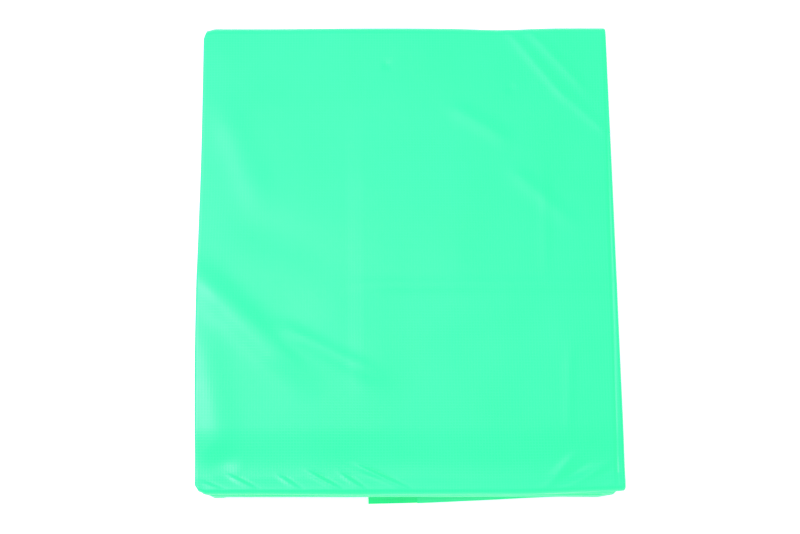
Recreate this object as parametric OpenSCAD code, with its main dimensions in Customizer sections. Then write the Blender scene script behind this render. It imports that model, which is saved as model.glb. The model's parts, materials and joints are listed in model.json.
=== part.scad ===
// A coated-cloth canopy tarpaulin, folded to a flat pack.
// The sheet is first folded lengthwise into a strip four plies thick. The strip is then folded
// to and fro across its length into six leaves, and its last stretch is tucked under the top leaf.
// Z = 0 is the face that the pack lies on, and X and Y are measured from the middle of the pack.
// -Y is the near side, where the sheet's first end lies.

/* [Pack] */
// Width of the folded pack
pack_w = 305; // [240:1:420]
// Depth of the folded pack, over its cross folds
pack_d = 356; // [280:1:480]
// Length of the end that is tucked under the top leaf
tuck_l = 153; // [70:1:190]

/* [Cloth] */
// Thickness of the coated cloth
ply_t = 0.36; // [0.3:0.01:0.6]
// Room left between two plies of one leaf, past two hems and a washer
ply_clear = 0.02; // [0.02:0.01:0.6]
// Room left between two leaves, past an eyelet's flange
leaf_clear = 0.1; // [0.05:0.01:0.6]
// How far the outer lengthwise fold stands out past the inner one
fold_step = 3.5; // [2:0.1:8]
// Where the first long edge lies, from the left side of the pack
edge_a = 118; // [60:1:150]
// How far the second long edge lies in from the left side of the pack
edge_b = 3; // [2:0.5:20]

/* [Hem] */
// Width of the welded hem
hem_w = 25; // [18:1:40]
// What the turned ply adds to the thickness of a pressed hem
hem_t = 0.26; // [0.2:0.01:0.4]

/* [Eyelets] */
// Inner radius of an eyelet's barrel
eyelet_r = 4.75; // [3:0.25:6]
// Wall of an eyelet's barrel
barrel_wall = 0.35; // [0.25:0.05:0.6]
// Radius of an eyelet's flange, and of its washer
flange_r = 9; // [7:0.25:11]
// Thickness of the flange and of the washer
flange_t = 0.2; // [0.15:0.01:0.3]
// Distance from an eyelet's centre to the two edges of the cloth
eyelet_inset = 12.5; // [11:0.5:20]
// Clearance around the barrel
barrel_clear = 0.05; // [0.02:0.01:0.1]

/* [Hidden] */
$fn = 48;

mint = [0.31, 0.93, 0.72];
mint_dark = [0.24, 0.83, 0.63];
brass = [0.80, 0.66, 0.36];

// Gaps that hold what lies between two plies, and between two leaves.
ply_gap = 2 * hem_t + flange_t + ply_clear;
leaf_gap = flange_t + leaf_clear;

// Levels of the strip are counted from its clean face, which is v = 0.
ply_pitch = ply_t + ply_gap;
leaf_t = 3 * ply_pitch + ply_t;
leaf_pitch = leaf_t + leaf_gap;
function level(i) = (i - 1) * ply_pitch;

// Across the strip: where its straight plies meet its lengthwise folds.
x_left = -pack_w / 2 + ply_pitch + ply_t / 2;
x_outer = pack_w / 2 - 1.5 * ply_pitch - ply_t / 2;
x_inner = x_outer - fold_step;
x_edge_a = -pack_w / 2 + edge_a;
x_edge_b = -pack_w / 2 + edge_b;

// Along the strip: where its flat leaves meet its cross folds.
bend_in = leaf_gap / 2;
bend_in_last = leaf_t / 2 + leaf_gap;
y_near = -pack_d / 2 + bend_in + leaf_t;
y_far = pack_d / 2 - bend_in_last - leaf_t;
leaf_l = y_far - y_near;
y_tuck = y_near + tuck_l;

// The tucked end is the sixth level of the stack, and the top leaf is the seventh.
function leaf_z(k) = (k - 1) * leaf_pitch;
z_tuck = leaf_z(6);
z_top = leaf_z(7);

// A hole's cutter runs past the cloth, but stops short of the next ply's hem.
hole_r = eyelet_r + barrel_wall + barrel_clear;
cut = flange_t / 2;

// One straight ply of the strip, with its lower side at v.
module ply(x0, x1, v, t = ply_t)
    translate([x0, v])
        square([x1 - x0, t]);

// Half a ring, which joins two plies at a lengthwise fold. side is -1 on the left and 1 on the right.
module half_ring(x, v, r, side)
    translate([x, v])
        intersection() {
            difference() {
                circle(r + ply_t / 2);
                circle(r - ply_t / 2);
            }
            translate([side > 0 ? 0 : -2 * r, -2 * r])
                square([2 * r, 4 * r]);
        }

// The strip's outline across its width: x is across, and y is the height v above the clean face.
module strip_section() {
    ply(x_left, x_outer, level(1));
    ply(x_edge_a, x_inner, level(2));
    ply(x_left, x_inner, level(3));
    ply(x_edge_b, x_outer, level(4));
    half_ring(x_left, level(2) + ply_t / 2, ply_pitch, -1);
    half_ring(x_inner, level(2.5) + ply_t / 2, ply_pitch / 2, 1);
    half_ring(x_outer, level(2.5) + ply_t / 2, 1.5 * ply_pitch, 1);
    ply(x_edge_a, x_edge_a + hem_w, level(2) + ply_t, hem_t);
    ply(x_edge_b, x_edge_b + hem_w, level(4) - hem_t, hem_t);
}

// The turned plies of an end hem, between the plies of the strip.
module end_hem_section() {
    ply(x_left, x_outer, level(1) + ply_t, hem_t);
    ply(x_edge_a + hem_w, x_inner, level(2) + ply_t, hem_t);
    ply(x_left, x_inner, level(3) - hem_t, hem_t);
    ply(x_edge_b + hem_w, x_outer, level(4) - hem_t, hem_t);
}

// A section with its clean face upwards.
module clean_up()
    translate([0, leaf_t])
        mirror([0, 1])
            children();

// A section carried along the pack from y0 to y1, with its lower face at z.
module run(y0, y1, z)
    translate([0, y1, z])
        rotate([90, 0, 0])
            linear_extrude(y1 - y0)
                children();

// A section turned through half a circle about an axis at y, z. side is -1 near and 1 far.
module bend(y, z, r_in, side)
    translate([0, y, z])
        rotate([side > 0 ? 0 : 180, 90, 0])
            rotate_extrude(angle = 180)
                translate([r_in, 0])
                    mirror([1, 0])
                        rotate(90)
                            children();

// The place of an eyelet: a is the corner at the first long edge, and b at the second.
function eyelet_x(corner) = (corner == "a" ? x_edge_a : x_edge_b) + eyelet_inset;
// The height of an eyelet's flange and washer in the strip, as [lowest, highest].
function eyelet_v(corner) = corner == "a"
    ? [level(2) - flange_t, level(2) + ply_t + hem_t + flange_t]
    : [level(4) - hem_t - flange_t, level(4) + ply_t + flange_t];

y_eyelet_bottom = y_near + eyelet_inset;
y_eyelet_tuck = y_tuck - eyelet_inset;

// The holes for the two eyelets at one end of the sheet.
module eyelet_holes(y, z)
    for (corner = ["a", "b"]) {
        v = eyelet_v(corner);
        translate([eyelet_x(corner), y, z + v[0] + flange_t - cut])
            cylinder(r = hole_r, h = v[1] - v[0] - 2 * flange_t + 2 * cut);
    }

// A flange with a barrel through the cloth. The flange lies on the clean side of the cloth.
module eyelet(corner, y, z) {
    v = eyelet_v(corner);
    flange_at = corner == "a" ? 0 : v[1] - v[0] - flange_t;
    color(brass)
        translate([eyelet_x(corner), y, z + v[0]])
            difference() {
                union() {
                    cylinder(r = eyelet_r + barrel_wall, h = v[1] - v[0]);
                    translate([0, 0, flange_at])
                        cylinder(r = flange_r, h = flange_t);
                }
                translate([0, 0, -1])
                    cylinder(r = eyelet_r, h = v[1] - v[0] + 2);
            }
}

// The washer that the barrel is set through, on the other side of the cloth.
module washer(corner, y, z) {
    v = eyelet_v(corner);
    washer_at = corner == "a" ? v[1] - v[0] - flange_t : 0;
    color(brass)
        translate([eyelet_x(corner), y, z + v[0] + washer_at])
            difference() {
                cylinder(r = flange_r, h = flange_t);
                translate([0, 0, -1])
                    cylinder(r = hole_r, h = flange_t + 2);
            }
}

// The bottom leaf, whose near end is the sheet's first end.
module leaf_1()
    color(mint)
        difference() {
            run(y_near, y_far, leaf_z(1))
                strip_section();
            eyelet_holes(y_eyelet_bottom, leaf_z(1));
        }

// A leaf between the bottom and the top one. Every second leaf has its clean face upwards.
module middle_leaf(k)
    color(k % 2 == 0 ? mint : mint_dark)
        run(y_near, y_far, leaf_z(k))
            if (k % 2 == 0)
                clean_up()
                    strip_section();
            else
                strip_section();

// The top leaf, with the strip's clean face upwards.
module leaf_6()
    color(mint)
        run(y_near, y_far, z_top)
            clean_up()
                strip_section();

// The sheet's last stretch, tucked under the top leaf.
module tuck_flap()
    color(mint_dark)
        difference() {
            run(y_near, y_tuck, z_tuck)
                strip_section();
            eyelet_holes(y_eyelet_tuck, z_tuck);
        }

// A far cross fold, from leaf k up to the next one, with the clean face outwards.
module far_fold(k)
    color(mint)
        bend(y_far, leaf_z(k) + leaf_t + bend_in, bend_in, 1)
            clean_up()
                strip_section();

// A near cross fold, from leaf k up to the next one, with the clean face inwards.
module near_fold(k)
    color(mint)
        bend(y_near, leaf_z(k) + leaf_t + bend_in, bend_in, -1)
            strip_section();

// The last far fold is wider, because it goes round the tucked end.
module fold_5_far()
    color(mint)
        bend(y_far, leaf_z(5) + leaf_t + bend_in_last, bend_in_last, 1)
            clean_up()
                strip_section();

// The fold from the top leaf down to the tucked end, with the clean face outwards.
module fold_6_near()
    color(mint)
        bend(y_near, z_tuck + leaf_t + bend_in, bend_in, -1)
            clean_up()
                strip_section();

module end_hem_bottom()
    color(mint_dark)
        difference() {
            run(y_near, y_near + hem_w, leaf_z(1))
                end_hem_section();
            eyelet_holes(y_eyelet_bottom, leaf_z(1));
        }

module end_hem_tuck()
    color(mint_dark)
        difference() {
            run(y_tuck - hem_w, y_tuck, z_tuck)
                end_hem_section();
            eyelet_holes(y_eyelet_tuck, z_tuck);
        }

leaf_1();
middle_leaf(2);  // leaf_2
middle_leaf(3);  // leaf_3
middle_leaf(4);  // leaf_4
middle_leaf(5);  // leaf_5
leaf_6();
tuck_flap();
far_fold(1);  // fold_1_far
near_fold(2);  // fold_2_near
far_fold(3);  // fold_3_far
near_fold(4);  // fold_4_near
fold_5_far();
fold_6_near();
end_hem_bottom();
end_hem_tuck();
eyelet("a", y_eyelet_bottom, leaf_z(1));  // eyelet_bottom_a
eyelet("b", y_eyelet_bottom, leaf_z(1));  // eyelet_bottom_b
eyelet("a", y_eyelet_tuck, z_tuck);  // eyelet_tuck_a
eyelet("b", y_eyelet_tuck, z_tuck);  // eyelet_tuck_b
washer("a", y_eyelet_bottom, leaf_z(1));  // washer_bottom_a
washer("b", y_eyelet_bottom, leaf_z(1));  // washer_bottom_b
washer("a", y_eyelet_tuck, z_tuck);  // washer_tuck_a
washer("b", y_eyelet_tuck, z_tuck);  // washer_tuck_b
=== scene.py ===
# %% [markdown]
# # A folded canopy tarpaulin
# The real thing is one sheet of coated cloth, about 43 by 90 inches, with welded hems and a metal
# eyelet in each corner. Someone folded it lengthwise into a strip four plies thick, and then to and
# fro across its length, so that it makes a flat pack of six leaves with a short end tucked in.
#
# We load the measured model first. It says where each leaf, fold and eyelet is, and how they hinge.
# Everything that follows takes its place from that frame, and nothing in the frame is moved.

# %% Load the frame
import json
import math
import bmesh
import bpy
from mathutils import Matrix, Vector, noise

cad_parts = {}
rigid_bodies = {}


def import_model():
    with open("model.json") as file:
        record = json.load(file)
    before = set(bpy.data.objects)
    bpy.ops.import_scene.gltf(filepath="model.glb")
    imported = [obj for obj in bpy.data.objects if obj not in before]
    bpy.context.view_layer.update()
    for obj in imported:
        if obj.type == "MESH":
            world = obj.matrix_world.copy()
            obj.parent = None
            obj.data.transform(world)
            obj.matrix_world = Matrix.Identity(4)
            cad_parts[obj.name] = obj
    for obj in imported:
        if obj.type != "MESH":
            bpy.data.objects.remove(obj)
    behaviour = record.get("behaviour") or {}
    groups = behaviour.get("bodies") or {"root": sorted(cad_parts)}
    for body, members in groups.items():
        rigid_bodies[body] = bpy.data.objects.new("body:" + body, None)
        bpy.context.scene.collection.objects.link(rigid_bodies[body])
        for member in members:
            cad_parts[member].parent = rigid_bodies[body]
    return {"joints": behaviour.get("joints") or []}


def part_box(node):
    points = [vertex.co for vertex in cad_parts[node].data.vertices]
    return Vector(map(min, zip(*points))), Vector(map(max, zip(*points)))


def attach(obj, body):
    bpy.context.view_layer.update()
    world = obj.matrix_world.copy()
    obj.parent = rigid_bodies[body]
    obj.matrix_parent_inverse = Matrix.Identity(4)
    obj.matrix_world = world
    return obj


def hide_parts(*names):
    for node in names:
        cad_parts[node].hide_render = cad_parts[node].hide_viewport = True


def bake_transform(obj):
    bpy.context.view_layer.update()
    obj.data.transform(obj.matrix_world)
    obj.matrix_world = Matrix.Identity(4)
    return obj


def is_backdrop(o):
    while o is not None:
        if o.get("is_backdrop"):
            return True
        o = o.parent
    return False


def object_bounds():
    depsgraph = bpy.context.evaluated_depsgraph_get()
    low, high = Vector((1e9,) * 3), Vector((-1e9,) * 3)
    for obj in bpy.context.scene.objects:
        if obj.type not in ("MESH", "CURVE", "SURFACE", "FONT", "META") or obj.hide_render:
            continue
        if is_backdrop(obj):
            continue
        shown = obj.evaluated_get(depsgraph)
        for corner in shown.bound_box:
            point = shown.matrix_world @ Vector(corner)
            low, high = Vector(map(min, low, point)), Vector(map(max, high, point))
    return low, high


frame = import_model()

cad_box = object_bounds()

# %% [markdown]
# ## Working in millimetres
# Blender's unit here is the metre, but a cloth a third of a millimetre thick is easier to think
# about in millimetres. So the fold is worked out in millimetres, and turned to metres at the end.

# %% Read the pack's sizes from the frame
MM = 0.001
PLY = 0.36
EYELET_INSET = 12.5
HEM = 25.0
LEAVES = ["leaf_1", "leaf_2", "leaf_3", "leaf_4", "leaf_5", "leaf_6", "tuck_flap"]


def box_mm(node):
    """The lowest and highest corner of a measured piece, in millimetres."""
    low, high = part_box(node)
    return [value / MM for value in low], [value / MM for value in high]


leaf_low, leaf_high = box_mm("leaf_6")
leaf_bottom = {name: box_mm(name)[0][2] for name in LEAVES}
leaf_thick = leaf_high[2] - leaf_low[2]
ply_pitch = (leaf_thick - PLY) / 3
near_y, far_y = leaf_low[1], leaf_high[1]
tuck_y = box_mm("tuck_flap")[1][1]
pack_top = leaf_high[2]
print("leaf thickness, mm:", round(leaf_thick, 2), " pack height, mm:", round(pack_top, 2))

# %% [markdown]
# ## The strip, seen end on
# Cut the folded strip across and look at the cut: the cloth is one line that winds round and
# round, always turning the same way. It starts with the turned hem of the first long edge on level
# 2, goes right, turns up to level 3, comes back left, drops to level 1, which is the clean face,
# goes right again, turns up to level 4 and ends with the second hem.
#
# We could draw each ply as its own flat plane, but then the folded edges would be missing. One
# winding line gives the plies, their rounded edges and the hems in one go.

# %% Places across the strip
middle_a = sum(corner[0] for corner in box_mm("eyelet_bottom_a")) / 2
middle_b = sum(corner[0] for corner in box_mm("eyelet_bottom_b")) / 2
left_x = leaf_low[0] + ply_pitch + PLY / 2
outer_x = leaf_high[0] - 1.5 * ply_pitch - PLY / 2
inner_x = outer_x - 3.5
edge_a_x = middle_a - EYELET_INSET
edge_b_x = middle_b - EYELET_INSET
TURN_IN = 0.31
LOW_HEM_STEPS = 15
CREASE_X = 141
print("edges of the sheet at, mm:", round(edge_a_x, 1), "and", round(edge_b_x, 1))


def level_v(level):
    """The height of the middle of a ply above the strip's clean face."""
    return (level - 1) * ply_pitch + PLY / 2


# %% [markdown]
# Straight plies and half turns make up the line. Each station also keeps its ply's level, and the
# direction of the inner side of the cloth, which the hems need later. Even steps would be simpler,
# but the clean face needs many more stations than a hidden ply, so each stretch has its own step.

# %% Wind the cloth across the strip
def straight(x0, x1, v, step, level):
    """Stations (x, v, normal x, normal v, level) along one flat ply."""
    count = max(1, round(abs(x1 - x0) / step))
    up = 1 if x1 > x0 else -1
    return [(x0 + (x1 - x0) * i / count, v, 0, up, level) for i in range(count + 1)]


def turn(x, v0, v1, levels, steps):
    """Stations round a folded edge, always turning to the left. v0 is where it starts."""
    start = -90 if v1 > v0 else 90
    radius = abs(v1 - v0) / 2
    stations = []
    for i in range(1, steps):
        angle = math.radians(start + 180 * i / steps)
        across, up = math.cos(angle), math.sin(angle)
        level = levels[0] if i <= steps / 2 else levels[1]
        stations.append((x + radius * across, (v0 + v1) / 2 + radius * up, -across, -up, level))
    return stations


def wind(clean_step, inner_step, corner_step, fine_step, hem_steps):
    """The whole winding line, from the hem of the first long edge to the hem of the second."""
    v1, v2, v3, v4 = (level_v(level) for level in (1, 2, 3, 4))
    line = straight(edge_a_x + HEM, edge_a_x, v2 + TURN_IN, HEM / hem_steps, 2)
    line += turn(edge_a_x, v2 + TURN_IN, v2, (2, 2), 4)
    line += straight(edge_a_x, edge_a_x + HEM, v2, corner_step, 2)
    line += straight(edge_a_x + HEM, inner_x, v2, inner_step, 2)[1:]
    line += turn(inner_x, v2, v3, (2, 3), 6)
    line += straight(inner_x, left_x, v3, inner_step, 3)
    line += turn(left_x, v3, v1, (3, 1), 10)
    line += straight(left_x, 10, v1, fine_step, 1)
    line += straight(10, CREASE_X, v1, clean_step, 1)[1:]
    line += straight(CREASE_X, outer_x, v1, fine_step / 2, 1)[1:]
    line += turn(outer_x, v1, v4, (1, 4), 12)
    line += straight(outer_x, edge_b_x + HEM, v4, inner_step, 4)
    line += straight(edge_b_x + HEM, edge_b_x, v4, corner_step, 4)[1:]
    line += turn(edge_b_x, v4, v4 - TURN_IN, (4, 4), 4)
    line += straight(edge_b_x, edge_b_x + HEM, v4 - TURN_IN, HEM / hem_steps, 4)
    return line


def with_length(line):
    """Each station again, with how far along the cloth it is."""
    along = [0.0]
    for before, after in zip(line, line[1:]):
        along.append(along[-1] + math.hypot(after[0] - before[0], after[1] - before[1]))
    return [(*station, length) for station, length in zip(line, along)]


top_line = with_length(wind(2.5, 15.0, 12.0, 1.6, 4))
low_line = with_length(wind(6.0, 12.0, 1.6, 6.0, LOW_HEM_STEPS))
sheet_width = top_line[-1][5]
print("flat width of the sheet, mm:", round(sheet_width))

# %% [markdown]
# ## Where the real pack isn't neat
# A folded tarpaulin is never a perfect block. The top leaf sags beyond the tucked end, hems show
# through as soft steps, the lower leaves have slid in a little, and the cloth is pulled into small
# creases at its folds. We could sculpt each piece, but then neighbours would no longer meet.
#
# Instead one function takes any point of the neat pack and says where it lies in the real one. Two
# pieces that met before still meet after, whatever the shape of the easing.

# %% Soft steps and folds
def smooth(start, end, value):
    """0 before start and 1 after end, with a soft slope between."""
    t = min(max((value - start) / (end - start), 0.0), 1.0)
    return t * t * (3 - 2 * t)


def hump(value, middle, half):
    """1 at the middle, falling softly to 0 at half on either side."""
    return 1 - smooth(0, half, abs(value - middle))


def ridge(x, y, crease):
    """The height at x, y of a crease (x0, y0, x1, y1, width, height), which fades at both ends."""
    x0, y0, x1, y1, width, height = crease
    run_x, run_y = x1 - x0, y1 - y0
    long2 = run_x * run_x + run_y * run_y
    t = ((x - x0) * run_x + (y - y0) * run_y) / long2
    if not -0.25 < t < 1.25:
        return 0.0
    off = ((x - x0) * run_y - (y - y0) * run_x) / math.sqrt(long2)
    if abs(off) > 3 * width:
        return 0.0
    ends = smooth(-0.25, 0.25, t) * (1 - smooth(0.75, 1.25, t))
    return height * ends * math.exp(-((off / width) ** 2))


# %% [markdown]
# The swells and creases are short straight ridges, each a line from one point to another with a
# width and a height. They could be drawn in sculpt mode, but a list can be read and changed one
# number at a time.

# %% List the swells and creases
# Broad swells of the whole top leaf: (x0, y0, x1, y1, width, height), in millimetres.
SWELLS = [
    (-152, -18, -80, -92, 12, 2.7),
    (-90, -58, -26, -92, 7, 1.5),
    (-136, 112, -108, 36, 12, 0.9),
    (-146, -64, -132, -150, 12, 1.3),
    (36, 112, 74, 88, 6, 0.8),
    (80, 62, 122, 22, 6, 0.7),
    (-120, 30, -60, -10, 18, -0.7),
    (80, 174, 118, 122, 3.2, 0.9),
    (116, 126, 148, 94, 3.2, 0.8),
    (94, 176, 134, 128, 3.2, 0.7),
    (102, 60, 101, -14, 3.5, 0.25),
    (116, -74, 113, -134, 3.0, 0.35),
    (-60, -30, -20, -100, 20, 0.8),
    (20, -70, 100, -60, 16, -0.6),
    (92, -178, 116, -152, 3.0, 0.9),
    (106, -178, 138, -160, 3.0, 1.0),
    (138, -177, 148, -168, 3.0, 0.6),
    (100, -178, 124, -158, 2.6, -0.6),
]
# Small drag creases of the top ply at the near fold.
DRAGS = [
    (-144, -171, -122, -181, 1.5, 0.8),
    (-126, -166, -102, -180, 1.5, 0.9),
    (-92, -166, -72, -180, 1.4, 0.8),
    (-71, -163, -42, -180, 1.6, 1.0),
    (-49, -164, -28, -179, 1.4, 0.8),
    (-35, -159, 6, -179, 2.0, 1.1),
]
print("swells:", len(SWELLS), " drag creases:", len(DRAGS))

# %% [markdown]
# The easing is a sum of a few plain causes. Each cause fades with depth, so that plies that lie on
# each other are squeezed or spread together and never pass through one another.

# %% How far the top ply rises or sinks
def relief(x, y):
    """The broad rise of the top leaf at x, y."""
    rise = sum(ridge(x, y, swell) for swell in SWELLS)
    rise += 0.55 * noise.noise(Vector((x / 85, y / 95, 3.1)))
    rise += 0.28 * noise.noise(Vector((x / 34, y / 38, 7.7)))
    rise -= 1.7 * hump(y, near_y + 17, 28) + 0.4 * (1 - smooth(near_y, near_y + 30, y))
    dent = math.hypot(x + 133, y + 154)
    rise -= 1.2 * (1 - smooth(0, 15, dent))
    for dimple_x, dimple_y, deep in ((-14, 147, 0.6), (79, 128, 0.5)):
        rise -= deep * (1 - smooth(0, 4.5, math.hypot(x - dimple_x, y - dimple_y)))
    return rise


def drag_relief(x, y):
    """The drag creases: each a small ridge with a sharper valley along its upper right side."""
    rise = 0.0
    if y < near_y + 22:
        for x0, y0, x1, y1, width, height in DRAGS:
            rise += ridge(x, y, (x0, y0, x1, y1, width, height))
            rise -= ridge(x, y, (x0 + 1.5, y0 + 1.6, x1 + 1.5, y1 + 1.6, 0.8, 0.7 * height))
    return rise


def show_through(x, y):
    """The soft steps on the clean face over the first long edge and its hem."""
    crease_x = outer_x + 0.6 - 4.8 * (far_y - y) / (far_y - near_y)
    crease = math.exp(-(((x - crease_x) / 0.9) ** 2))
    no_ply_below = 1 - smooth(edge_a_x - 11, edge_a_x - 0.5, x)
    hem_below = smooth(edge_a_x - 1, edge_a_x + 1, x) * (1 - smooth(edge_a_x + 8, edge_a_x + HEM + 14, x))
    fade = smooth(near_y + 40, near_y + 110, y) * (1 - smooth(60, 150, y))
    return (0.15 * hem_below - 0.45 * no_ply_below) * fade - 0.5 * crease


print("relief at the middle of the top, mm:", round(relief(0, 0), 2))

# %% [markdown]
# The easing moves a point three ways. Upwards come the sag beyond the tucked end, the relief and the
# creases. Across, the lower leaves have slid in and the corners are drawn in by their folds. Along,
# the folds don't quite line up. The whole pack also leans by half a degree, so it isn't square.

# %% The easing
def corner_pull(x, y, corner_x, corner_y, size):
    """How strongly a point near a corner of the pack is drawn in."""
    across = 1 - smooth(0, size, abs(x - corner_x))
    along = 1 - smooth(0, size, abs(y - corner_y))
    return across * along


LEAN = -0.0095
SPREAD = 1.003
BULGE = 0.04
BOW = 2.0
SLID_LEFT, SLID_RIGHT = 3.6, 5.0
PULL_LEFT, PULL_RIGHT, PULL_FAR = 2.2, 1.8, 1.6


def lifted(x, y, z):
    """How far a point rises or sinks."""
    depth = z / pack_top
    over_flap = smooth(leaf_bottom["tuck_flap"] - 0.5, leaf_bottom["leaf_6"], z)
    top_ply = smooth(pack_top - PLY / 2 - ply_pitch, pack_top - PLY / 2, z)
    sag = smooth(tuck_y - 1.5, tuck_y + 115, y)
    bed = smooth(near_y - 4, near_y + 10, y)
    up = -0.4 * (leaf_thick + 0.3) * sag * over_flap
    up += 0.45 * hump(y, tuck_y - 4, 8) * smooth(-60, -10, x) * over_flap
    up += relief(x, y) * depth
    up += show_through(x, y) * top_ply
    up += drag_relief(x, y) * top_ply
    return up * bed


def slid_across(x, y, z, top_leaf):
    """How far a point has slid to the side."""
    bow = BOW * math.exp(-((y + 55) / 95) ** 2) * (1 - smooth(left_x, left_x + 60, x))
    in_left = SLID_LEFT * (1 - top_leaf) * (1 - smooth(left_x, 0, x))
    in_right = SLID_RIGHT * (1 - top_leaf) * smooth(0, outer_x, x)
    uneven = 0.5 * noise.noise(Vector((z / 3.5, y / 120, 5.2)))
    return in_left - in_right - bow * top_leaf + uneven


def drawn_along(x, y, z, top_leaf):
    """How far a point near either end of the pack has slid along it."""
    loose = noise.noise(Vector((z / 9, x / 160, 1.3)))
    near = 0.4 + 0.5 * loose + 0.4 * noise.noise(Vector((x / 45, z / 9, 2.2)))
    near = max(near, 0) + 2.0 * top_leaf * smooth(70, 150, x)
    near *= 1 - smooth(near_y - 4, near_y + 70, y)
    far = 0.2 + 1.2 * hump(x, 74, 46) + 0.4 * noise.noise(Vector((x / 70, z / 9, 9.4)))
    far = -max(far, 0) * smooth(far_y - 70, far_y + 4, y)
    beyond = BULGE * (max(y - far_y, 0) - max(near_y - y, 0))
    return beyond + near + far


def ease(x, y, z):
    """Moves a point of the neat pack, in millimetres, to its place in the real one."""
    top_leaf = smooth(leaf_bottom["tuck_flap"] + 1.5, leaf_bottom["leaf_6"], z)
    pull = PULL_LEFT * corner_pull(x, y, left_x - 1, near_y - 4, 8)
    pull_right = PULL_RIGHT * corner_pull(x, y, outer_x, near_y - 4, 9) * (1 - 0.85 * top_leaf)
    pull_far = PULL_FAR * corner_pull(x, y, left_x - 1, far_y + 4, 9)
    new_x = SPREAD * x + LEAN * y + slid_across(x, y, z, top_leaf) + pull - pull_right + pull_far
    new_y = y + drawn_along(x, y, z, top_leaf) + pull + pull_right - pull_far
    return Vector((new_x, new_y, z + lifted(x, y, z)))


corner = Vector((left_x, near_y, pack_top))
print("near left corner moves, mm:", [round(value, 1) for value in ease(*corner) - corner])

# %% [markdown]
# ## Making a piece of cloth
# Each piece starts as a flat grid, which is what cloth is. Every column of the grid is a station of
# the winding line and every row is a place along the sheet, so all that is left is to put each
# vertex where its station and row say. The grid's UV map keeps the flat cloth's own millimetres, and
# the weave follows it round every fold. Solidify then gives the cloth its thickness.

# %% Grid to cloth
CUT_RADIUS = 6.4


def in_a_hole(face, spots, line, rows, place, holes):
    """True if the middle of a grid's face lies within an eyelet's hole (x, y, level)."""
    level = line[spots[face.verts[0]][0]][4]
    neat = [place(line[i], rows[j][0]) for i, j in (spots[vert] for vert in face.verts)]
    x = sum(point[0] for point in neat) / len(neat)
    y = sum(point[1] for point in neat) / len(neat)
    return any(level == hole[2] and math.hypot(x - hole[0], y - hole[1]) < CUT_RADIUS for hole in holes)


def cloth_piece(name, line, rows, place, material, holes=()):
    """A grid with a column per station and a row per (value, along), each vertex put by place."""
    columns, row_count = len(line), len(rows)
    bm = bmesh.new()
    bmesh.ops.create_grid(bm, x_segments=columns - 1, y_segments=row_count - 1, size=1)
    spots = {}
    for vert in bm.verts:
        i = round((vert.co.x + 1) / 2 * (columns - 1))
        j = round((vert.co.y + 1) / 2 * (row_count - 1))
        spots[vert] = (i, j)
        vert.co = ease(*place(line[i], rows[j][0])) * MM
    uv_layer = bm.loops.layers.uv.new("cloth")
    for face in bm.faces:
        face.smooth = True
        for loop in face.loops:
            i, j = spots[loop.vert]
            loop[uv_layer].uv = (line[i][5] * MM, rows[j][1] * MM)
    for edge in bm.edges:
        edge.smooth = not edge.is_boundary
    if holes:
        cut = [face for face in bm.faces if in_a_hole(face, spots, line, rows, place, holes)]
        bmesh.ops.delete(bm, geom=cut, context="FACES")
    mesh = bpy.data.meshes.new(name)
    bm.to_mesh(mesh)
    bm.free()
    piece = bpy.data.objects.new(name, mesh)
    bpy.context.collection.objects.link(piece)
    mesh.materials.append(material)
    wall = piece.modifiers.new("cloth thickness", "SOLIDIFY")
    wall.thickness = PLY * MM
    wall.offset = 0
    return piece

# %% [markdown]
# ## The cloth's finish
# Canopy cloth is an open grid of polyester threads, twelve to the inch, with a mint-green vinyl film
# pressed on both sides. The film is smooth and slightly glossy. The threads lift it a few hundredths
# of a millimetre, so the grid shows only where light grazes it or where the gloss falls.
#
# The grid could be an image, but then it would blur close up. Two sine waves along the flat cloth's
# own directions make a thread wherever a wave peaks, at any size. The grid, and the mottle of the
# film, are used by the sheet and by its hems, so each is a node group with its own settings.

# %% Small helpers for shader nodes
def add_node(tree, kind, x, y, **settings):
    """A node of that kind in the tree, at that place in the editor, with those settings."""
    node = tree.nodes.new(kind)
    node.location = (x, y)
    for key, value in settings.items():
        setattr(node, key, value)
    return node


def math_node(tree, operation, a, b, x, y, clamp=False):
    """A Math node of two inputs, each a number or a socket. Returns its output."""
    node = add_node(tree, "ShaderNodeMath", x, y, operation=operation, use_clamp=clamp)
    for socket, value in zip(node.inputs, (a, b)):
        if isinstance(value, bpy.types.NodeSocket):
            tree.links.new(value, socket)
        elif value is not None:
            socket.default_value = value
    return node.outputs[0]


def new_group(name, inputs, outputs):
    """An empty node group with those named sockets, as (group, its input node, its output node)."""
    group = bpy.data.node_groups.new(name, "ShaderNodeTree")
    for label, kind, value in inputs:
        socket = group.interface.new_socket(label, in_out="INPUT", socket_type=kind)
        if value is not None:
            socket.default_value = value
    for label, kind in outputs:
        group.interface.new_socket(label, in_out="OUTPUT", socket_type=kind)
    start = add_node(group, "NodeGroupInput", -900, 0)
    end = add_node(group, "NodeGroupOutput", 900, 0)
    return group, start, end


# %% [markdown]
# A cosine peaks once in every thread pitch. Raised to a power, its peaks narrow to threads with
# flat gaps between. A little noise added to the place keeps the threads from being ruler straight.

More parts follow.
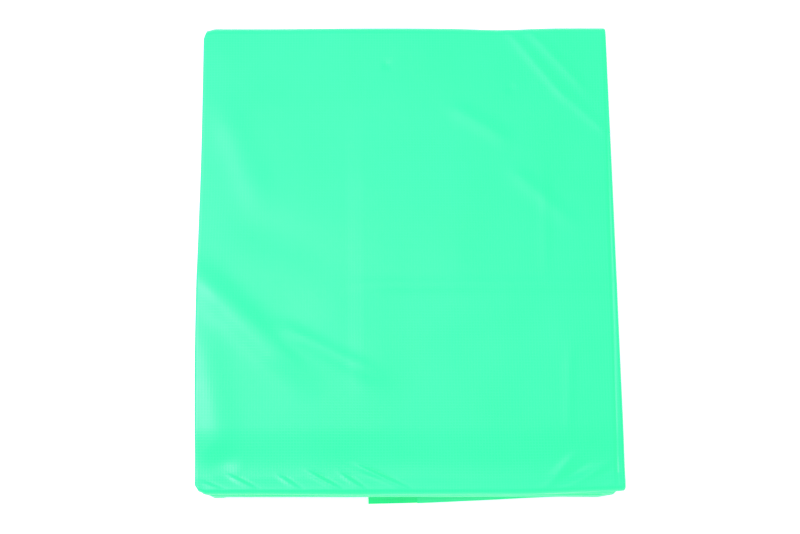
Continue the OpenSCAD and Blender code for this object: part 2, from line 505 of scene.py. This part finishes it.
# %% The woven grid under the film
def make_thread_grid():
    """Threads: 1 on a thread and 0 between. Height: the same, rounded, for the bump."""
    group, start, end = new_group(
        "thread grid",
        [("Cloth", "NodeSocketVector", None), ("Pitch", "NodeSocketFloat", 0.0021)],
        [("Threads", "NodeSocketFloat"), ("Height", "NodeSocketFloat")],
    )
    apart = add_node(group, "ShaderNodeSeparateXYZ", -700, 0)
    group.links.new(start.outputs["Cloth"], apart.inputs[0])
    wander = add_node(group, "ShaderNodeTexNoise", -700, -250)
    wander.inputs["Scale"].default_value = 26
    wander.inputs["Detail"].default_value = 1
    group.links.new(start.outputs["Cloth"], wander.inputs["Vector"])
    drift = math_node(group, "MULTIPLY", wander.outputs["Fac"], 0.0012, -520, -250)
    waves = []
    for row, axis in enumerate(("X", "Y")):
        place = math_node(group, "ADD", apart.outputs[axis], drift, -340, -200 * row)
        turns = math_node(group, "DIVIDE", place, start.outputs["Pitch"], -180, -200 * row)
        angle = math_node(group, "MULTIPLY", turns, math.tau, -20, -200 * row)
        wave = math_node(group, "COSINE", angle, None, 140, -200 * row)
        half = math_node(group, "MULTIPLY_ADD", wave, 0.5, 300, -200 * row)
        half.node.inputs[2].default_value = 0.5
        waves.append(math_node(group, "POWER", half, 3.0, 460, -200 * row))
    height = math_node(group, "MAXIMUM", waves[0], waves[1], 620, -100)
    threads = math_node(group, "SUBTRACT", height, 0.25, 700, 60, clamp=True)
    group.links.new(threads, end.inputs["Threads"])
    group.links.new(height, end.inputs["Height"])
    return group


# %% [markdown]
# The film itself isn't even. Broad noise stands for patches where it is thicker, and fine noise for
# the ripple left by the press rollers.

# %% The mottle of the film
def make_film_mottle():
    """Patches: broad and fine unevenness of the film, about 0.5. Ripple: its faint surface waves."""
    group, start, end = new_group(
        "film mottle",
        [("Place", "NodeSocketVector", None), ("Patch size", "NodeSocketFloat", 14.0)],
        [("Patches", "NodeSocketFloat"), ("Ripple", "NodeSocketFloat")],
    )
    broad = add_node(group, "ShaderNodeTexNoise", -500, 120)
    broad.inputs["Detail"].default_value = 4
    broad.inputs["Roughness"].default_value = 0.55
    group.links.new(start.outputs["Place"], broad.inputs["Vector"])
    group.links.new(start.outputs["Patch size"], broad.inputs["Scale"])
    fine = add_node(group, "ShaderNodeTexNoise", -500, -200)
    fine.inputs["Scale"].default_value = 210
    fine.inputs["Detail"].default_value = 2
    group.links.new(start.outputs["Place"], fine.inputs["Vector"])
    group.links.new(broad.outputs["Fac"], end.inputs["Patches"])
    group.links.new(fine.outputs["Fac"], end.inputs["Ripple"])
    return group


thread_grid = make_thread_grid()
film_mottle = make_film_mottle()
print("node groups:", thread_grid.name, "and", film_mottle.name)


# %% [markdown]
# One function joins the two groups to a shader. The sheet and its hems differ only in colour, gloss
# and in how strongly the grid shows, so they are two calls of it rather than two materials by hand.

# %% Build a coated cloth
def coated_cloth(name, film, thread, dark, rough, grid_bump):
    """Vinyl film over a woven grid. film, thread and dark are linear colours."""
    material = bpy.data.materials.new(name)
    material.use_nodes = True
    tree = material.node_tree
    shader = tree.nodes["Principled BSDF"]
    cloth = add_node(tree, "ShaderNodeUVMap", -1500, 200, uv_map="cloth")
    where = add_node(tree, "ShaderNodeTexCoord", -1500, -200)
    grid = add_node(tree, "ShaderNodeGroup", -1250, 200, node_tree=thread_grid)
    tree.links.new(cloth.outputs["UV"], grid.inputs["Cloth"])
    mottle = add_node(tree, "ShaderNodeGroup", -1250, -200, node_tree=film_mottle)
    tree.links.new(where.outputs["Object"], mottle.inputs["Place"])

    patchy = add_node(tree, "ShaderNodeMix", -900, 320, data_type="RGBA")
    patchy.inputs[6].default_value = (*dark, 1)
    patchy.inputs[7].default_value = (*film, 1)
    even = math_node(tree, "MULTIPLY_ADD", mottle.outputs["Patches"], 1.6, -1080, 320, clamp=True)
    even.node.inputs[2].default_value = -0.15
    tree.links.new(even, patchy.inputs[0])
    woven = add_node(tree, "ShaderNodeMix", -650, 320, data_type="RGBA")
    woven.inputs[7].default_value = (*thread, 1)
    tree.links.new(patchy.outputs[2], woven.inputs[6])
    faint = math_node(tree, "MULTIPLY", grid.outputs["Threads"], 0.35, -880, 120)
    tree.links.new(faint, woven.inputs[0])
    tree.links.new(woven.outputs[2], shader.inputs["Base Color"])

    gloss = math_node(tree, "MULTIPLY_ADD", mottle.outputs["Patches"], 0.22, -880, -60)
    gloss.node.inputs[2].default_value = rough - 0.11
    tree.links.new(gloss, shader.inputs["Roughness"])

    weave = add_node(tree, "ShaderNodeBump", -420, -150)
    weave.inputs["Strength"].default_value = grid_bump
    weave.inputs["Distance"].default_value = 0.00004
    tree.links.new(grid.outputs["Height"], weave.inputs["Height"])
    film_bump = add_node(tree, "ShaderNodeBump", -640, -300)
    film_bump.inputs["Strength"].default_value = 0.35
    film_bump.inputs["Distance"].default_value = 0.00006
    tree.links.new(mottle.outputs["Ripple"], film_bump.inputs["Height"])
    tree.links.new(film_bump.outputs["Normal"], weave.inputs["Normal"])
    tree.links.new(weave.outputs["Normal"], shader.inputs["Normal"])
    shader.inputs["IOR"].default_value = 1.5
    shader.inputs["Sheen Weight"].default_value = 0.05
    shader.inputs["Sheen Roughness"].default_value = 0.5
    return material


mint_cloth = coated_cloth(
    "mint coated cloth", (0.010, 0.93, 0.37), (0.045, 0.95, 0.43), (0.004, 0.90, 0.34), 0.34, 0.8
)
hem_cloth = coated_cloth(
    "welded hem cloth", (0.04, 0.94, 0.46), (0.07, 0.95, 0.50), (0.03, 0.92, 0.43), 0.32, 1.0
)

# %% [markdown]
# The eyelets are pressed brass. Real ones are tumbled bright and then dull a little where they are
# touched, so the metal gets a patchy roughness and very fine scratches instead of one flat value.

# %% Brass for the eyelets
def pressed_brass():
    """Brass with dull patches and fine tumbling marks."""
    material = bpy.data.materials.new("pressed brass")
    material.use_nodes = True
    tree = material.node_tree
    shader = tree.nodes["Principled BSDF"]
    where = add_node(tree, "ShaderNodeTexCoord", -1100, 0)
    dull = add_node(tree, "ShaderNodeTexNoise", -850, 120)
    dull.inputs["Scale"].default_value = 260
    dull.inputs["Detail"].default_value = 4
    tree.links.new(where.outputs["Object"], dull.inputs["Vector"])
    tone = add_node(tree, "ShaderNodeMix", -500, 250, data_type="RGBA")
    tone.inputs[6].default_value = (0.56, 0.37, 0.13, 1)
    tone.inputs[7].default_value = (0.80, 0.60, 0.27, 1)
    tree.links.new(dull.outputs["Fac"], tone.inputs[0])
    tree.links.new(tone.outputs[2], shader.inputs["Base Color"])
    gloss = math_node(tree, "MULTIPLY_ADD", dull.outputs["Fac"], 0.3, -500, 0)
    gloss.node.inputs[2].default_value = 0.14
    tree.links.new(gloss, shader.inputs["Roughness"])
    marks = add_node(tree, "ShaderNodeTexNoise", -850, -200)
    marks.inputs["Scale"].default_value = 1500
    tree.links.new(where.outputs["Object"], marks.inputs["Vector"])
    bump = add_node(tree, "ShaderNodeBump", -500, -200)
    bump.inputs["Strength"].default_value = 0.15
    bump.inputs["Distance"].default_value = 0.00005
    tree.links.new(marks.outputs["Fac"], bump.inputs["Height"])
    tree.links.new(bump.outputs["Normal"], shader.inputs["Normal"])
    shader.inputs["Metallic"].default_value = 1
    return material


brass = pressed_brass()

# %% [markdown]
# ## Leaves
# A leaf is the strip laid flat. Leaf 1 lies with its clean face down, leaf 2 with it up, and so on,
# because each cross fold turns the strip over. The tucked end lies the same way as leaf 1.
#
# The rows lie closer together near the two ends, where the cloth is pulled by its folds, and the top
# leaf gets the finest rows of all, because its face is what people see.

# %% Rows along the strip
def spread_rows(y0, y1, fine, coarse, near_band, far_band):
    """Values from y0 to y1: fine steps within a band at each end, and coarse ones between."""
    stops = [y0]
    while stops[-1] < y1 - 0.01:
        here = stops[-1]
        step = fine if here < y0 + near_band or here >= y1 - far_band else coarse
        stops.append(min(here + step, y1))
    if stops[-1] - stops[-2] < 0.4 * fine:
        del stops[-2]
    return stops


def along_sheet(leaf_number, y):
    """How far along the flat sheet a row of that leaf lies, counted from the first end."""
    leaf_length = far_y - near_y
    start = (leaf_number - 1) * (leaf_length + math.pi * leaf_thick / 2)
    return start + (y - near_y if leaf_number % 2 else far_y - y)


# %% [markdown]
# The first end of the sheet shows in the near edge: its half-width ply, on level 2, sticks out a few
# millimetres and a little askew. So the rows of leaf 1 are stretched there, for that ply alone.

# %% Leaf 1's askew end
def askew_end(x, level, y):
    """How far a point of leaf 1 is drawn out at the near end."""
    lean = 3.0 * (1 - smooth(left_x + 10, left_x + 36, x))
    if level == 2:
        lean += 8.0 - 8.0 * smooth(edge_a_x - 30, inner_x + 60, x)
    return -lean * (1 - smooth(near_y, near_y + 60, y))


def leaf_place(name, number):
    """A function that puts a station and a row's y in the neat pack."""
    low = leaf_bottom[name]

    def place(station, y):
        x, v, level = station[0], station[1], station[4]
        z = low + v if number % 2 else low + leaf_thick - v
        draw = askew_end(x, level, y) if name == "leaf_1" else 0.0
        aside = -0.5 * draw * hump(x, edge_a_x, 90)
        droop = 0.95 * smooth(0, 6, near_y - y - draw) if level == 2 else 0.0
        return x + aside, y + draw, z - droop

    return place


# %% [markdown]
# The seven leaves differ only in where they lie and how fine their grid is, so one loop makes them
# all. Copies of one leaf would be quicker, but each has its own swells, and two have eyelet holes.

# %% Make the seven leaves
cloth_pieces = {}
goes_with = {name: [] for name in LEAVES}
leaf_long = {}
for number, name in enumerate(LEAVES, start=1):
    last = tuck_y if name == "tuck_flap" else far_y
    top = name == "leaf_6"
    ys = spread_rows(near_y, last, 0.75 if top else 1.7, 2.3 if top else 8.0, 26, 10 if top else 26)
    rows = [(y, along_sheet(number, y)) for y in ys]
    line = top_line if top else low_line
    hole_y = {"leaf_1": near_y + EYELET_INSET, "tuck_flap": tuck_y - EYELET_INSET}.get(name)
    holes = [(middle_a, hole_y, 2), (middle_b, hole_y, 4)] if hole_y else []
    piece = cloth_piece(name + "_cloth", line, rows, leaf_place(name, number), mint_cloth, holes)
    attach(piece, name)
    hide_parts(name)
    cloth_pieces[name] = piece
    leaf_long[name] = last - near_y
    print(name, "rows:", len(rows), "columns:", len(line))

# %% [markdown]
# ## Cross folds
# Where one leaf turns over into the next, every ply goes round its own half circle, small inside and
# larger outside. When the fold opens, each half circle has to straighten, so each ply of each fold
# is a piece of its own that bends between its two leaves. Joined into one piece, the inner plies
# would be dragged along by the outer ones.

# %% One ply of one cross fold
FOLD_STEPS = 22


def part_of_line(line, level):
    """The stations of one level, with the next one, so that neighbouring parts share an edge."""
    own = [i for i, station in enumerate(line) if station[4] == level]
    return line[own[0]: own[-1] + 2]


def fold_rows(radius, start, way):
    """Angles from the lower leaf to the upper one, closer together where they meet the leaves."""
    angles = [math.pi * smooth(0, 1, i / FOLD_STEPS) for i in range(FOLD_STEPS + 1)]
    return [(angle, start + way * radius * (math.pi - angle)) for angle in angles]


def fold_place(low, flipped, axis_y, axis_z):
    """A function that puts a station at an angle round the fold's axis."""
    side = 1 if axis_y > 0 else -1

    def place(station, angle):
        v = leaf_thick - station[1] if flipped else station[1]
        radius = axis_z - (low + v)
        return station[0], axis_y + side * radius * math.sin(angle), axis_z - radius * math.cos(angle)

    return place


# %% [markdown]
# A ply of a fold belongs to two leaves at once, but it is not blended with them: its place is baked into
# its own mesh, and the rise from its first row to its last is measured.

# %% Bake a ply and measure its rise
def bend_between(piece, axis_y, columns):
    """Bakes the ply's place into its mesh and returns the rise from its first row to its last."""
    heights = [vert.co.z for vert in piece.data.vertices]
    low_z = max(heights[:columns])
    high_z = min(heights[-columns:])
    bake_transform(piece)
    return high_z - low_z


# %% [markdown]
# Each hinge of the frame is a cross fold. Its axis gives the middle of the half circles, and the
# height of each ply gives the radius.

# %% Make the six cross folds
for joint in frame["joints"]:
    pair = sorted((joint["parent"], joint["child"]), key=leaf_bottom.get)
    lower, upper = pair
    axis_y, axis_z = (value / MM for value in joint["pos_m"][1:])
    fold_node = joint["name"] + ("_far" if axis_y > 0 else "_near")
    lower_number = LEAVES.index(lower) + 1
    upper_number = LEAVES.index(upper) + 1
    line = top_line if upper == "leaf_6" else low_line
    way = 1 if upper_number < lower_number else -1
    start = along_sheet(upper_number, axis_y)
    place = fold_place(leaf_bottom[lower], lower_number % 2 == 0, axis_y, axis_z)
    for level in (1, 2, 3, 4):
        part = part_of_line(line, level)
        v = leaf_thick - level_v(level) if lower_number % 2 == 0 else level_v(level)
        radius = axis_z - leaf_bottom[lower] - v
        rows = fold_rows(radius, start, way)
        piece = cloth_piece(f"{fold_node}_ply_{level}", part, rows, place, mint_cloth)
        room = bend_between(piece, axis_y, len(part))
        print(piece.name, "room to bend, mm:", round(room / MM, 2))
        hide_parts(fold_node)
        goes_with[LEAVES[min(lower_number, upper_number) - 1]].append(piece)
    print(fold_node, "joins", lower, "and", upper)

# %% [markdown]
# ## End hems
# At each end of the sheet the cloth is turned back on itself by an inch and welded flat. The turned
# ply lies on the inner side of the strip, so it follows the same winding line, a third of a
# millimetre further in. Only its rounded edge shows in the folded pack.

# %% Turned plies at the two ends
def hem_rows():
    """(distance from the end, how far in) from the inner edge of the hem, round the end, to the leaf."""
    rows = [(HEM * (1 - i / 8), TURN_IN) for i in range(9)]
    for i in range(1, 7):
        angle = math.pi * i / 6
        rows.append((-TURN_IN / 2 * math.sin(angle), TURN_IN / 2 * (1 + math.cos(angle))))
    return rows


def hem_place(name, number, end_y, inward):
    """A function that puts a station of the hem in the neat pack."""
    flat_place = leaf_place(name, number)

    def place(station, row):
        off_end, off_ply = row
        x, v, across, up, level, along = station
        shifted = (x + across * off_ply, v + up * off_ply, across, up, level, along)
        return flat_place(shifted, end_y + inward * off_end)

    return place


hem_skip = LOW_HEM_STEPS + 1 + 3
hem_line = [
    station for station in low_line[hem_skip:-hem_skip]
    if station[4] in (1, 3) or station[0] > (edge_a_x if station[4] == 2 else edge_b_x) + HEM
]
for node, name, number, end_y, inward in (
    ("end_hem_bottom", "leaf_1", 1, near_y, 1),
    ("end_hem_tuck", "tuck_flap", 7, tuck_y, -1),
):
    rows = [(row, row[0] + row[1]) for row in hem_rows()]
    hem = cloth_piece(node + "_cloth", hem_line, rows, hem_place(name, number, end_y, inward), hem_cloth)
    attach(hem, name)
    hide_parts(node)
    goes_with[name].append(hem)
    print(node, "stations:", len(hem_line))

# %% [markdown]
# ## Eyelets and washers
# An eyelet is pressed from a brass disc: a flat flange with a rounded rim, and a barrel through the
# cloth whose end is rolled out over a washer. Both are round, so a short outline is spun about the
# hole. A plain tube and ring would do the job, but the rolled lips are what catches the light.

# %% Spin an outline round a hole
def spun_ring(name, outline, centre):
    """Spins a closed outline of (radius, height) points, in millimetres, about an upright axis."""
    bm = bmesh.new()
    verts = [bm.verts.new((radius, 0, height)) for radius, height in outline]
    edges = [bm.edges.new((verts[i - 1], verts[i])) for i in range(len(verts))]
    bmesh.ops.spin(
        bm, geom=verts + edges, cent=(0, 0, 0), axis=(0, 0, 1),
        angle=math.tau, steps=48, use_merge=True,
    )
    bmesh.ops.remove_doubles(bm, verts=bm.verts, dist=0.0001)
    bmesh.ops.recalc_face_normals(bm, faces=bm.faces)
    for vert in bm.verts:
        vert.co = ease(*(vert.co + centre)) * MM
    for face in bm.faces:
        face.smooth = True
    mesh = bpy.data.meshes.new(name)
    bm.to_mesh(mesh)
    bm.free()
    ring = bpy.data.objects.new(name, mesh)
    bpy.context.collection.objects.link(ring)
    mesh.materials.append(brass)
    return ring


# %% [markdown]
# The two outlines are closed rows of points, as (radius, height). Small steps at the rims stand for
# the rounding of the press, which a sharp corner would lose.

# %% The two outlines
HOLE, BARREL, LIP, RIM, FLANGE = 4.75, 5.1, 6.6, 9.0, 0.2


def eyelet_outline(tall):
    """Flange at the bottom, barrel, and at the top a lip rolled out into the washer's dish."""
    rim = [(RIM, 0.1), (RIM - 0.06, 0.03), (RIM - 0.2, 0)]
    mouth = [(HOLE + 0.5, 0), (HOLE + 0.15, 0.07), (HOLE, 0.3)]
    lip = [(HOLE, tall - 0.3), (HOLE + 0.13, tall - 0.07), (HOLE + 0.45, tall), (LIP - 0.06, tall)]
    under_lip = [(LIP, tall - 0.04), (LIP - 0.08, tall - 0.09)]
    under_lip += [(BARREL + 0.15, tall - 0.1), (BARREL, tall - 0.3)]
    back = [(BARREL, FLANGE + 0.1), (BARREL + 0.1, FLANGE), (RIM - 0.2, FLANGE), (RIM - 0.06, 0.17)]
    return rim + mouth + lip + under_lip + back


def washer_outline(tall):
    """A ring with a rounded rim, dished at the hole for the eyelet's lip."""
    low = tall - FLANGE
    bottom = [(BARREL + 0.05, low), (RIM - 0.2, low), (RIM - 0.06, low + 0.03), (RIM, low + 0.1)]
    top = [(RIM - 0.06, tall - 0.03), (RIM - 0.2, tall), (LIP + 0.3, tall), (LIP + 0.05, tall - 0.1)]
    return bottom + top + [(BARREL + 0.05, tall - 0.11)]


# %% [markdown]
# Corners a have the flange below the cloth and the washer above, and corners b the other way up,
# because the strip's winding turns them over. So the same outline is used for both, flipped for b.

# %% Make the four eyelets
for end, name in (("bottom", "leaf_1"), ("tuck", "tuck_flap")):
    for corner in ("a", "b"):
        node = f"eyelet_{end}_{corner}"
        low, high = box_mm(node)
        centre = Vector(((low[0] + high[0]) / 2, (low[1] + high[1]) / 2, 0))
        tall = high[2] - low[2]
        for kind, outline in (("eyelet", eyelet_outline(tall)), ("washer", washer_outline(tall))):
            node = f"{kind}_{end}_{corner}"
            if corner == "a":
                placed = [(radius, low[2] + height) for radius, height in outline]
            else:
                placed = [(radius, high[2] - height) for radius, height in outline]
            ring = spun_ring(node + "_brass", placed, centre)
            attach(ring, name)
            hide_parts(node)
            goes_with[name].append(ring)
        print(end, corner, "eyelet at, mm:", [round(value, 1) for value in centre[:2]])

# %% [markdown]
# ## One sheet in seven lengths
# Each leaf's flat size is printed, with how many pieces go with it. A fold's plies are too narrow to be
# sheets of their own, the innermost only a millimetre long, so they go with the leaf that they continue.

for name, piece in cloth_pieces.items():
    flat = (sheet_width * MM, leaf_long[name] * MM)
    print(name, "flat, m:", [round(value, 3) for value in flat], "with", len(goes_with[name]), "pieces")

# %% [markdown]
# ## Camera, floor and light
# The pack lies on a pale table and is seen from above its near edge, so the stacked plies show as a
# thin band below the top face. A long lens keeps its sides almost parallel.
#
# The camera could be aimed by a constraint, but a direction worked out from two angles says plainly
# how far it is turned and how steeply it looks down.

# %% Camera
turned, raised = math.radians(0.122), math.radians(75.5)
forward = Vector((
    math.sin(turned) * math.cos(raised),
    math.cos(turned) * math.cos(raised),
    -math.sin(raised),
))
camera = bpy.data.objects.new("camera", bpy.data.cameras.new("camera"))
camera.data.lens = 77.3
camera.data.sensor_width = 36
camera.location = Vector((-5.587, -8.0, 13)) * MM - forward * 1.273
camera.rotation_mode = "QUATERNION"
camera.rotation_quaternion = forward.to_track_quat("-Z", "Y")
bpy.context.collection.objects.link(camera)
bpy.context.scene.camera = camera
print("camera height, m:", round(camera.location.z, 3))


# %% [markdown]
# The table is one big plane, marked as stage so that it doesn't count as part of the object. A faint
# glow of its own keeps it pale right up to the cloth, as in a light tent.

# %% Floor
def plain_plane(name, size, place, material):
    """A square plane facing up."""
    bm = bmesh.new()
    bmesh.ops.create_grid(bm, x_segments=1, y_segments=1, size=size / 2)
    mesh = bpy.data.meshes.new(name)
    bm.to_mesh(mesh)
    bm.free()
    plane = bpy.data.objects.new(name, mesh)
    plane.location = place
    bpy.context.collection.objects.link(plane)
    mesh.materials.append(material)
    return plane


pale = bpy.data.materials.new("pale table")
pale.use_nodes = True
pale_shader = pale.node_tree.nodes["Principled BSDF"]
pale_shader.inputs["Base Color"].default_value = (0.9, 0.9, 0.9, 1)
pale_shader.inputs["Roughness"].default_value = 0.9
pale_shader.inputs["Emission Color"].default_value = (1, 1, 1, 1)
pale_shader.inputs["Emission Strength"].default_value = 0.55
floor = plain_plane("floor", 12, (0, 0, -0.0006), pale)
floor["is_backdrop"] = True


# %% [markdown]
# Two soft lamps give the gloss something to reflect: a strong one high up to the left, and a weak one
# almost overhead. The rest is a pale, even room, so the light on the top face changes only where the
# cloth tilts. The weak lamp is there for the slopes that turn away from the strong one.

# %% Soft light
def soft_lamp(name, place, aim, size, watts):
    """A square area lamp that looks at a point."""
    lamp = bpy.data.lights.new(name, "AREA")
    lamp.shape = "SQUARE"
    lamp.size = size
    lamp.energy = watts
    holder = bpy.data.objects.new(name, lamp)
    holder.location = place
    holder.rotation_mode = "QUATERNION"
    holder.rotation_quaternion = (Vector(aim) - Vector(place)).to_track_quat("-Z", "Y")
    bpy.context.collection.objects.link(holder)
    holder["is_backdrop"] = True


soft_lamp("side lamp", (-0.82, 0.26, 1.55), (0, 0, 0), 0.5, 11)
soft_lamp("top lamp", (-0.10, 0.40, 1.75), (0, 0, 0), 0.4, 1.7)
room = bpy.data.worlds.new("pale room")
room.use_nodes = True
room.node_tree.nodes["Background"].inputs["Color"].default_value = (1, 1, 1, 1)
room.node_tree.nodes["Background"].inputs["Strength"].default_value = 0.95
bpy.context.scene.world = room
bpy.context.scene.view_settings.view_transform = "Standard"
print("lamps:", [light.name for light in bpy.data.lights])

# %% [markdown]
# ## The last look
# The finished cloth may swell a little past the measured boxes, but not far. So both sizes are printed.

# %% Sizes, and finish
new_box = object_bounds()
sizes = {
    "measured": [list(corner) for corner in cad_box],
    "dressed": [list(corner) for corner in new_box],
}
for label, (low, high) in sizes.items():
    print(label, "mm:", [round(value / MM, 1) for value in low], [round(value / MM, 1) for value in high])
